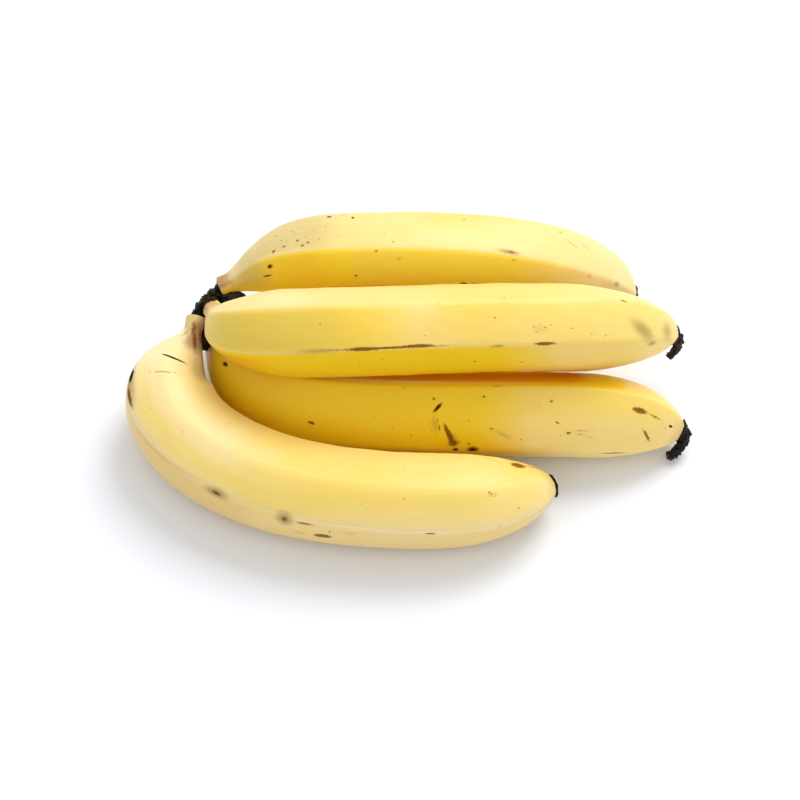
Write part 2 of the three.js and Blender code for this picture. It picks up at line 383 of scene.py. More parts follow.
class Shading:
    """A node material under construction."""

    def __init__(self, name: str) -> None:
        """Start an empty material.

        Args:
            name: name of the material.
        """
        self.material = bpy.data.materials.new(name)
        self.material.use_nodes = True
        self.tree = self.material.node_tree
        self.tree.nodes.clear()
        self.output = self.add("OutputMaterial")

    def add(self, kind: str, inputs: dict[Any, Any] | None = None) -> bpy.types.Node:
        """Add one shader node.

        Args:
            kind: Blender's name of the node's type, without "ShaderNode".
            inputs: node property or input (by name or number) to its value, or to the output
                that feeds it.

        Returns:
            The new node.
        """
        node = self.tree.nodes.new("ShaderNode" + kind)
        for key, value in (inputs or {}).items():
            if isinstance(value, Socket):
                self.tree.links.new(value, node.inputs[key])
            elif isinstance(key, str) and key.islower():
                setattr(node, key, value)
            else:
                node.inputs[key].default_value = value
        return node

    def maths(self, operation: str, *values: float | Socket) -> Socket:
        """Maths on numbers and outputs.

        Args:
            operation: Blender's name of the operation.
            values: its operands in order.

        Returns:
            The result's output.
        """
        return self.add("Math", {"operation": operation, **dict(enumerate(values))}).outputs[0]

    def noise(self, place: Socket, scale: float, detail: float = 2.0, roughness: float = 0.5) -> Socket:
        """Noise from 0 to 1, mostly near a half.

        Args:
            place: output that gives the place.
            scale: waves to a unit of the place.
            detail: number of finer octaves.
            roughness: strength of each octave against the one before.

        Returns:
            The noise's output.
        """
        inputs = {"Vector": place, "Scale": scale, "Detail": detail, "Roughness": roughness}
        return self.add("TexNoise", inputs).outputs["Fac"]

    def remap(
        self,
        value: Socket,
        source: tuple[float, float] = (0.0, 1.0),
        target: tuple[float, float] = (0.0, 1.0),
        curve: str = "LINEAR",
    ) -> Socket:
        """Turn one range of values into another, held at both ends.

        Args:
            value: output to turn.
            source: range that comes in.
            target: range that goes out.
            curve: "LINEAR", or "SMOOTHSTEP" for soft ends.

        Returns:
            The result's output.
        """
        ends = dict(zip(("From Min", "From Max", "To Min", "To Max"), source + target))
        return self.add("MapRange", {"interpolation_type": curve, "Value": value, **ends}).outputs[0]

    def mixed(self, start: Colour | Socket, tint: str, mask: Socket) -> Socket:
        """Mix a colour towards a tint where a mask says so.

        Args:
            start: linear colour, or output that gives the colour.
            tint: sRGB hex colour of the tint.
            mask: output that gives the tint's share.

        Returns:
            The mixed colour's output.
        """
        return self.add("Mix", {"data_type": "RGBA", 0: mask, 6: start, 7: linear(tint)}).outputs[2]

    def close(self, inputs: dict[str, Any]) -> bpy.types.Material:
        """Give the material its surface.

        Args:
            inputs: input of the surface to its value, or to the output that feeds it.

        Returns:
            The finished material.
        """
        surface = self.add("BsdfPrincipled", inputs)
        self.tree.links.new(surface.outputs[0], self.output.inputs["Surface"])
        return self.material


@dataclass(frozen=True)
class PeelFinish:
    """Ripe banana peel: a waxy skin grown over fine fibres that run along the finger.

    To the eye it is a satin yellow, paler where light falls on it and deep golden where it is lit by its
    neighbours. The golden tint is painted shade on the sides turned from the light and between the
    fingers, and the deep orange tint is painted shade where fingers touch. It is tan in places, which on
    the front finger is painted reflection of the white floor. It is green-tinged towards the neck and
    pink-brown at the crown, with small brown specks, long faint fibres and soft bruises. patch_size,
    drift_size, speck_spacing and fibre_width are in mm.
    """

    pale: str = "#F8DC98"
    warm: str = "#F2D169"
    fibres: str = "#E8C85C"
    shade_gold: str = "#F3CB16"
    contact_shade: str = "#EE920A"
    tan: str = "#E4BE68"
    green: str = "#C4B268"
    rose: str = "#9A6A48"
    edge: str = "#C59A38"
    tip: str = "#B49A48"
    speck: str = "#7B5628"
    brown: str = "#7E4A08"
    black: str = "#150B05"
    bruise: str = "#947A2C"
    roughness: float = 0.46
    scar_and_root_shade_roughness: float = 0.71
    gloss: float = 0.55
    wax: float = 0.35
    shelter: float = 0.45
    patch_size: float = 38.0
    drift_size: float = 22.0
    speck_spacing: float = 4.2
    speck_reach: float = 0.11
    fibre_width: float = 0.9
    fibre_stretch: float = 30.0
    fibre_push: float = 0.14
    ragged_scale: float = 1.3
    seed: float = 0.0

    def material(self, name: str) -> bpy.types.Material:
        """Build the peel's material on the layers straight, growth, areas and marks.

        Args:
            name: name of the material.

        Returns:
            The material.
        """
        shading = Shading(name)
        add, maths, noise = shading.add, shading.maths, shading.noise
        remap, mixed = shading.remap, shading.mixed
        layers = {
            layer: add("Attribute", {"attribute_name": layer}).outputs
            for layer in ("straight", "growth", "areas", "marks")
        }
        straight = layers["straight"]["Vector"]
        grown, area, marked = (
            add("SeparateColor", {0: layers[layer]["Color"]}).outputs
            for layer in ("growth", "areas", "marks")
        )

        # Slow change of yellow along and round the finger.
        stretched = {0: straight, "Location": (self.seed, 0, 0), "Scale": (0.5, 1, 1)}
        place = add("Mapping", stretched).outputs[0]
        patchy = remap(noise(place, 1 / self.patch_size), (0.35, 0.65))
        # Fibres: noise drawn out along the finger.
        drawn = add("Mapping", {0: straight, "Scale": (1 / self.fibre_stretch, 1, 1)}).outputs[0]
        fibre = noise(drawn, 1 / self.fibre_width)
        # Ragged edge of every blemish, about a millimetre across.
        ragged = maths("SUBTRACT", noise(straight, self.ragged_scale, 5.0, 0.72), 0.5)

        colour = mixed(linear(self.pale), self.warm, patchy)
        colour = mixed(colour, self.fibres, remap(fibre, (0.3, 0.75), (0.0, 0.16)))

        # Areas of other hue, tip tint and worn edges, pushed about by the fibres, whose mean is a half.
        # The gold and deep tints are painted shade, and the tan tint is partly painted reflection of the
        # floor. Columns: layer, values where its tint starts and is full, its most, the tint.
        masks = []
        for layer, low, high, most, tint in (
            (area["Red"], 0.1, 0.9, 1.0, self.shade_gold),
            (area["Red"], 1.1, 1.9, CONTACT_SHADE_SHARE, self.contact_shade),
            (area["Green"], 0.1, 0.9, 0.85, self.tan),
            (area["Blue"], 0.1, 0.9, 0.8, self.green),
            (layers["areas"]["Alpha"], 0.1, 0.9, 0.85, self.rose),
            (grown["Red"], 0.8, 1.1, 0.45, self.tip),
            (grown["Green"], 0.25, 1.0, 0.45, self.edge),
        ):
            pushed = maths("MULTIPLY_ADD", fibre, self.fibre_push, layer)
            source = (low + self.fibre_push / 2, high + self.fibre_push / 2)
            masks.append(remap(pushed, source, (0.0, most), "SMOOTHSTEP"))
            colour = mixed(colour, tint, masks[-1])

        # Specks: one dot in some of the cells of a Voronoi pattern, in drifts.
        cell = add("TexVoronoi", {"Vector": straight, "Scale": 1 / self.speck_spacing}).outputs
        pick = add("SeparateColor", {0: cell["Color"]}).outputs["Red"]
        reach = remap(pick, (0.62, 1.0), (0.0, self.speck_reach))
        dot = remap(maths("SUBTRACT", reach, cell["Distance"]), (0.0, 0.03))
        drift = remap(noise(place, 1 / self.drift_size, 1.0), (0.48, 0.6), (0.0, 0.8))
        colour = mixed(colour, self.speck, maths("MULTIPLY", dot, drift))

        # Blemishes: soft bruises first, then brown scars, then black ones, which also carry the painted
        # shade on the under finger's root. Columns: layer, tint, values where it starts and is full, its
        # most, and how ragged its border is.
        blemish_and_root_shade = []
        for layer, tint, low, high, most, rough in (
            ("Blue", self.bruise, 0.05, 0.95, 0.7, 0.6),
            ("Red", self.brown, 0.2, 0.66, 0.9, 1.3),
            ("Green", self.black, 0.32, 0.55, 0.97, 1.0),
        ):
            pushed = maths("MULTIPLY_ADD", ragged, rough, marked[layer])
            gate = remap(pushed, (low, high), (0.0, most), "SMOOTHSTEP")
            blemish_and_root_shade.append(maths("MULTIPLY", gate, maths("GREATER_THAN", marked[layer], 0.01)))
            colour = mixed(colour, tint, blemish_and_root_shade[-1])

        # Scars, and the painted shade where two fingers touch each other, have lost their wax and are
        # dull. The golden painted shade on the sides sheltered between the fingers is partly dull.
        scar_and_root_shade = maths("MAXIMUM", blemish_and_root_shade[1], blemish_and_root_shade[2])
        scar_and_painted_shade = maths("MAXIMUM", masks[1], scar_and_root_shade)
        dull = maths("MAXIMUM", scar_and_painted_shade, maths("MULTIPLY", masks[0], self.shelter))
        relief = maths("MULTIPLY_ADD", scar_and_root_shade, -1.2, fibre)
        bump = add("Bump", {"Strength": 0.35, "Distance": 0.00012, "Height": relief})
        return shading.close(
            {
                "Base Color": colour,
                "Roughness": remap(scar_and_root_shade, target=(self.roughness, self.scar_and_root_shade_roughness)),
                "IOR": 1.45,
                "Specular IOR Level": remap(dull, (0.0, CONTACT_SHADE_SHARE), (self.gloss, 0.0)),
                "Subsurface Weight": 0.22,
                "Subsurface Radius": (1.0, 0.45, 0.08),
                "Subsurface Scale": 0.003,
                "Coat Weight": remap(dull, (0.0, CONTACT_SHADE_SHARE), (self.wax, 0.0)),
                "Coat Roughness": 0.5,
                "Normal": bump.outputs[0],
            }
        )


@dataclass(frozen=True)
class DriedFinish:
    """Dried plant stuff: crown or blossom end, shrunk and charred dark by the air.

    To the eye it is black-brown and rough, with small glossy ridges where the gum has dried.
    """

    dark: str
    light: str
    grain: float = 1.6
    roughness: float = 0.62

    def material(self, name: str) -> bpy.types.Material:
        """Build the material on Object coordinates.

        Args:
            name: name of the material.

        Returns:
            The material.
        """
        shading = Shading(name)
        place = shading.add("TexCoord").outputs["Object"]
        grain = shading.noise(place, 1 / (self.grain * MM), 6.0, 0.7)
        patch = shading.noise(place, 1 / (4 * self.grain * MM), 3.0)
        colour = shading.mixed(linear(self.dark), self.light, shading.remap(patch, (0.5, 0.78)))
        spread = (self.roughness - 0.3, self.roughness + 0.2)
        rough = shading.remap(grain, (0.35, 0.65), spread)
        bump = shading.add("Bump", {"Strength": 0.8, "Distance": 0.0006, "Height": grain})
        return shading.close(
            {
                "Base Color": colour,
                "Roughness": rough,
                "IOR": 1.5,
                "Specular IOR Level": 0.28,
                "Normal": bump.outputs[0],
            }
        )


@dataclass(frozen=True)
class PaperFinish:
    """Seamless studio paper: matt, white, without visible grain at this distance."""

    white: str = "#F2F4F9"

    def material(self, name: str) -> bpy.types.Material:
        """Build the paper's material.

        Args:
            name: name of the material.

        Returns:
            The material.
        """
        return Shading(name).close({"Base Color": linear(self.white), "Roughness": 0.9})


@dataclass(frozen=True)
class Strand:
    """Dried strand: a round tube of changing thickness with a lumpy, ribbed skin.

    path holds its steering points and radii its radius at each of them, in mm. Ribs of the
    share rib_depth run round it, and where it is under thin its lumps grow lower.
    """

    path: list[Point]
    radii: list[float]
    rings: int = 110
    sides: int = 40
    rib_depth: float = 0.05
    rib_rate: float = 14.0
    thin: float = 1.5

    def skin(self, seed: int) -> np.ndarray:
        """The strand's points: place on the curve plus the radius all round, with ripples.

        Args:
            seed: number that fixes the ripples.

        Returns:
            Points (rings, sides, 3) in mm.
        """
        line = spline(self.path, self.rings)
        _, out, across = bend_frames(line)
        u = np.linspace(0, len(self.radii) - 1, self.rings)
        radius = np.interp(u, np.arange(len(self.radii)), self.radii)
        radius = radius * (1 + self.rib_depth * np.sin(u * self.rib_rate))
        way = round_about(turns(self.sides), out, across)
        points = line[:, None] + radius[:, None, None] * way
        relief = lumps(points, seed, (0.42, 2.6), (0.25, 1.2))
        return points + (relief * np.minimum(1, radius / self.thin)[:, None])[..., None] * way


@dataclass
class Finger:
    """One banana with its neck, as a rounded five-sided skin along a bent centre line.

    Lengths are in mm and angles in degrees. The angle round the finger starts at the outside
    of the bend. specks holds the distance and angle of each small speck that was seen, and
    strands what the dried blossom left at the tip.
    """

    name: str
    path: list[Point]
    radius: float
    flare: float
    taper: float
    edges: tuple[float, ...]
    slim: float = 0.0
    stalk: float = 0.0
    twist: float = 0.0
    worn: tuple[float, ...] = (0.3, 0.3, 0.3, 0.3, 0.3)
    areas: list[Area] = field(default_factory=list)
    marks: list[Mark] = field(default_factory=list)
    specks: list[tuple[float, float]] = field(default_factory=list)
    strands: list[Strand] = field(default_factory=list)
    finish: PeelFinish = PeelFinish()
    seed: int = 1
    tip_reach: float = 26.0
    edge_width: float = 5.0
    rings: int = 380
    sides: int = 224

    def girth(self, s: np.ndarray, length: float) -> np.ndarray:
        """Corner radius at each distance from the crown.

        After the even stalk the neck widens as 1 - (1 - x^1.3)^2.6 over the flare, up to a
        girth that loses the share slim evenly from crown to tip. The tip closes as
        (1 - y^2.3)^0.75 over the taper, down to the blunt nub.

        Args:
            s: distances from the crown in mm.
            length: length of the centre line in mm.

        Returns:
            Radii in mm.
        """
        x = np.clip((s - self.stalk) / self.flare, 0, 1)
        girth = self.radius * (1 - self.slim * s / length)
        body = NECK_RADIUS + (girth - NECK_RADIUS) * (1 - (1 - x ** SWELL[0]) ** SWELL[1])
        y = np.clip((s - length + self.taper) / self.taper, 0, 1)
        full = (1 - y ** CLOSE[0]) ** CLOSE[1]
        return NUB_RADIUS * (1 - full) + body * full

    def skin(self) -> tuple[np.ndarray, np.ndarray, np.ndarray, float]:
        """The skin's points, the distance and angle of each, and the finger's length.

        Each ring is the centre line's place plus the radius all round, with a faint ripple of
        a tenth of a millimetre. The edges are turned by the twist times (1 - fraction of the
        length)^2. What would be below the table top is flattened onto it.

        Returns:
            Points (rings, sides, 3) in mm, distances (rings, 1), angles (sides,) in radians,
            and the length in mm.
        """
        u = np.linspace(0, 1, self.rings)
        fractions = u - END_CROWDING * np.sin(2 * np.pi * u) / (2 * np.pi)
        line, length = along_curve(spline(self.path, CURVE_POINTS), fractions)
        _, out, across = bend_frames(line)
        theta = turns(self.sides)
        s = (fractions * length)[:, None]
        turned = math.radians(self.twist) * (1 - fractions[:, None]) ** 2
        reach = self.girth(s, length) * face_share(theta[None, :] - turned, self.edges, FLATNESS)
        way = round_about(theta, out, across)
        points = line[:, None] + reach[..., None] * way
        relief = lumps(points, self.seed, (0.10, 16), (0.05, 6), stride=50) - RELIEF_DEPTH
        points = points + relief[..., None] * way
        points[..., 2] = np.maximum(points[..., 2], ORIGIN[2])
        return points, s, theta, length

    def layers(self, s: np.ndarray, theta: np.ndarray, length: float) -> dict[str, np.ndarray]:
        """Values per point for the peel's material.

        straight is the place on the finger as if it were unbent, in mm. growth holds the nearness to the
        tip and to the worn edges. areas holds one share for each hue, painted shade and painted reflection
        among them. marks holds the three kinds of blemish, with the painted shade on the under finger's
        root among the black ones, each 1 in its middle and falling to 0 at its border.

        Args:
            s: distances from the crown, shape (rings, 1).
            theta: angles in radians, shape (sides,).
            length: length of the centre line in mm.

        Returns:
            Arrays named as in the mesh, each of shape (rings, sides, 3 or 4).
        """
        shape = (len(s), len(theta))
        radius = self.girth(s, length)
        along = np.broadcast_to(s, shape)
        straight = np.stack([along, radius * np.cos(theta), radius * np.sin(theta)], -1)
        corner = np.radians(np.asarray(self.edges))
        turned = math.radians(self.twist) * (1 - s / length) ** 2
        off = np.degrees(wrapped((theta[None, :] - turned)[..., None] - corner))
        growth = np.stack(
            [
                np.broadcast_to(step(length - self.tip_reach, length, s), shape),
                (np.exp(-((off / self.edge_width) ** 2)) * np.asarray(self.worn)).max(-1),
                np.zeros(shape),
                np.ones(shape),
            ],
            -1,
        )
        areas = np.zeros(shape + (4,))
        for area in self.areas:
            middle, half = np.mean(area.turn), np.ptp(area.turn) / 2
            away = np.abs(np.degrees(wrapped(theta[None, :] - turned - np.radians(middle))))
            across = 1 - step(half - area.soft, half + area.soft, away)
            (first, last), fade = area.along, area.fade / 2
            length_share = step(first - fade, first + fade, s) * (1 - step(last - fade, last + fade, s))
            layer = areas[..., area.hue.value]
            np.maximum(layer, area.depth * across * length_share, out=layer)
        marks = np.zeros(shape + (4,))
        marks[..., 3] = 1
        dots = [Mark(*spot, length=1.0, width=0.9, depth=0.75) for spot in self.specks]
        for mark in self.marks + dots:
            x = s - mark.along
            y = wrapped(theta - np.radians(mark.turn))[None, :] * np.maximum(radius, LEAST_RADIUS)
            slant = np.radians(mark.slant)
            a = (x * np.cos(slant) + y * np.sin(slant)) / (mark.length / 2)
            b = (y * np.cos(slant) - x * np.sin(slant)) / (mark.width / 2)
            value = mark.depth * np.clip(MARK_REACH - np.hypot(a, b), 0, 1)
            layer = marks[..., mark.tone.value]
            np.maximum(layer, value, out=layer)
        return {"straight": straight, "growth": growth, "areas": areas, "marks": marks}

    def build(self) -> None:
        """Build and dress the finger and hand it to its solid."""
        points, s, theta, length = self.skin()
        obj = make_object(f"peel_{self.name}", [points])
        for name, values in self.layers(s, theta, length).items():
            flat = values.reshape(-1, values.shape[-1])
            ends = np.stack([values[0].mean(0), values[-1].mean(0)])
            put_layer(obj, name, np.vstack([flat, ends]))
        hand_over(obj, self.finish.material(f"banana_peel_{self.name}"), f"banana_{self.name}")
        LOG.info("%s: %.0f mm along its bend, %d marks", obj.name, length, len(self.marks))


def hand_over(obj: bpy.types.Object, material: bpy.types.Material, node: str) -> None:
    """Dress a piece, hide the solid that it stands for and hang it on the root body.

    Args:
        obj: the finished piece.
        material: what it is dressed in.
        node: name of the solid.
    """
    obj.data.materials.append(material)
    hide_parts(node)
    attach(obj, "root")


@dataclass
class Crown:
    """Dried pad that joins the necks, with lobes in the corners between them."""

    path: list[Point]
    half_height: list[float]
    half_width: list[float]
    lobes: list[tuple[Point, Point, float]]
    finish: DriedFinish
    seed: int = 5
    rings: int = 120
    sides: int = 150
    lobe_rings: int = 60
    pole_gap: float = 0.03

    def pad(self) -> np.ndarray:
        """Oval sections standing along the path, roughened by ripples.

        Each ring is the place on the path plus width times the cosine sideways and height
        times the sine upwards.

        Returns:
            Points (rings, sides, 3) in mm.
        """
        line = spline(self.path, self.rings)
        travel = unit(np.gradient(line, axis=0))
        up = np.array([0.0, 0.0, 1.0])
        sideways = unit(np.cross(travel, up))
        u = np.linspace(0, len(self.path) - 1, self.rings)
        height = np.interp(u, np.arange(len(self.path)), self.half_height)[:, None]
        width = np.interp(u, np.arange(len(self.path)), self.half_width)[:, None]
        theta = turns(self.sides)
        points = (
            line[:, None]
            + (width * np.cos(theta))[..., None] * sideways[:, None]
            + (height * np.sin(theta))[..., None] * up
        )
        way = round_about(theta, sideways, np.broadcast_to(up, line.shape))
        relief = lumps(points, self.seed, (0.6, 4.5), (0.45, 1.9), (0.25, 0.9))
        return points + relief[..., None] * way

    def lobe(self, middle: Point, half: Point, turned: float) -> np.ndarray:
        """Rippled egg shape: dried stuff that fills a corner between the necks.

        Rings run from pole to pole along its length: cosine of the latitude across and up,
        its sine along, each times its half size, turned about the vertical.

        Args:
            middle: its middle in mm.
            half: half its length, width and height in mm.
            turned: angle about the vertical in degrees.

        Returns:
            Points (rings, sides, 3) in mm.
        """
        pole = np.pi / 2 - self.pole_gap
        lat = np.linspace(-pole, pole, self.lobe_rings)[:, None]
        theta = turns(self.lobe_rings)
        along = np.sin(lat) * np.ones_like(theta)
        way = np.stack([along, np.cos(lat) * np.cos(theta), np.cos(lat) * np.sin(theta)], -1)
        local = way * np.array(half)
        c, s = math.cos(math.radians(turned)), math.sin(math.radians(turned))
        turn = np.array([[c, -s, 0], [s, c, 0], [0, 0, 1]])
        points = local @ turn.T + np.array(middle)
        relief = lumps(points, self.seed + 3, (0.45, 3.5), (0.3, 1.4))
        return points + relief[..., None] * (way @ turn.T)

    def build(self) -> None:
        """Build and dress the crown and hand it to its solid."""
        obj = make_object("crown_dried", [self.pad()] + [self.lobe(*lobe) for lobe in self.lobes])
        hand_over(obj, self.finish.material("dried_crown"), "crown")
        LOG.info("%s: pad and %d lobes", obj.name, len(self.lobes))


@dataclass
class BlossomEnd:
    """Dark cap on a finger's blunt tip, with or without a dried strand curling from it."""

    finger: Finger
    finish: DriedFinish
    cap_radius: float = 4.4
    cap_thickness: float = 1.3
    cap_gap: float = 0.1
    cap_rings: int = 40
    cap_sides: int = 72
    seed: int = 20

    def cap(self) -> np.ndarray:
        """Low ragged dome on the tip's end plane.

        wide and high are its profile's shares of the radius and the thickness, from the
        bottom's middle over the rim to the top's middle. Ripples roughen the rim.

        Returns:
            Points (rings, sides, 3) in mm.
        """
        even = np.linspace(0, 1, CURVE_POINTS)
        line, _ = along_curve(spline(self.finger.path, CURVE_POINTS), even)
        travel, out, across = bend_frames(line)
        wide = [0.2, 0.92, 1.0, 1.0, 0.86, 0.5, 0.08]
        high = [0.0, 0.0, 0.15, 0.4, 0.75, 1.0, 0.95]
        t = np.linspace(0, len(wide) - 1, self.cap_rings)
        r = np.interp(t, np.arange(len(wide)), wide) * self.cap_radius
        h = np.interp(t, np.arange(len(high)), high) * self.cap_thickness + self.cap_gap
        theta = turns(self.cap_sides)
        way = round_about(theta, out[-1:], across[-1:])
        points = line[-1] + r[:, None, None] * way + h[:, None, None] * travel[-1]
        relief = lumps(points, self.seed, (0.35, 2.4), (0.2, 1.1)) * (r / self.cap_radius)[:, None]
        return points + relief[..., None] * way

    def build(self) -> None:
        """Build and dress the blossom end and hand it to its solid."""
        name, strands = self.finger.name, self.finger.strands
        grids = [strand.skin(self.seed + 3 + i) for i, strand in enumerate(strands)]
        obj = make_object(f"blossom_{name}", [self.cap()] + grids)
        hand_over(obj, self.finish.material(f"dried_blossom_{name}"), f"blossom_end_{name}")
        LOG.info("%s: cap and %d strands", obj.name, len(strands))


@dataclass
class Studio:
    """White floor, soft light from above and behind, and the camera.

    look and distance are in mm on the bench, where the camera aims and how far off it stands,
    and elevation is in degrees. The light's and the floor's measures are in metres.
    """

    look: Point = (0.0, 45.0, 25.0)
    elevation: float = 58.0
    distance: float = 700.0
    lens: float = 80.3
    sensor: float = 36.0
    sky: float = 0.84
    sky_colour: Colour = (0.955, 0.972, 1.0, 1.0)
    key_place: Point = (0.35, 0.55, 0.95)
    key_size: float = 0.6
    key_power: float = 7.6
    floor_half: float = 3.0
    floor_drop: float = 0.0002
    finish: PaperFinish = PaperFinish()

    def floor(self) -> None:
        """Lay a flat sheet of paper just under the fruit."""
        x, z = self.floor_half, -self.floor_drop
        mesh = bpy.data.meshes.new("floor")
        mesh.from_pydata([(-x, -x, z), (x, -x, z), (x, x, z), (-x, x, z)], [], [(0, 1, 2, 3)])
        obj = link_object("floor", mesh)
        obj.data.materials.append(self.finish.material("studio_paper"))

    def stand(self, data: bpy.types.ID, place: Vector, back: Vector) -> bpy.types.Object:
        """Put a lamp or a camera in its place and aim it.

        Args:
            data: the lamp or the camera, whose name the object takes.
            place: where it stands in metres.
            back: direction from what it faces to where it stands.

        Returns:
            The object.
        """
        obj = link_object(data.name, data)
        obj.location = place
        obj.rotation_mode = "QUATERNION"
        obj.rotation_quaternion = (-back).to_track_quat("-Z", "Y")
        return obj

    def lamp(self) -> None:
        """Hang the square soft light, aimed at the fruit."""
        data = bpy.data.lights.new("key", "AREA")
        data.size = self.key_size
        data.energy = self.key_power
        self.stand(data, Vector(self.key_place), Vector(self.key_place))

    def camera(self) -> None:
        """Set the camera at the photograph's angle, looking along +Y and down."""
        e = math.radians(self.elevation)
        toward = np.array([0.0, -math.cos(e), math.sin(e)])
        eye = (np.array(self.look) + toward * self.distance - ORIGIN) * MM
        data = bpy.data.cameras.new("camera")
        data.lens = self.lens
        data.sensor_width = self.sensor
        bpy.context.scene.camera = self.stand(data, Vector(eye), Vector(toward))

    def build(self) -> None:
        """Set up the floor, the light, the sky and the camera."""
        self.floor()
        self.lamp()
        world = bpy.data.worlds.new("studio")
        world.use_nodes = True
        ground = world.node_tree.nodes["Background"]
        ground.inputs["Color"].default_value = self.sky_colour
        ground.inputs["Strength"].default_value = self.sky
        bpy.context.scene.world = world
        bpy.context.scene.view_settings.view_transform = "Standard"
        self.camera()
        LOG.info("studio: floor, one lamp and camera")


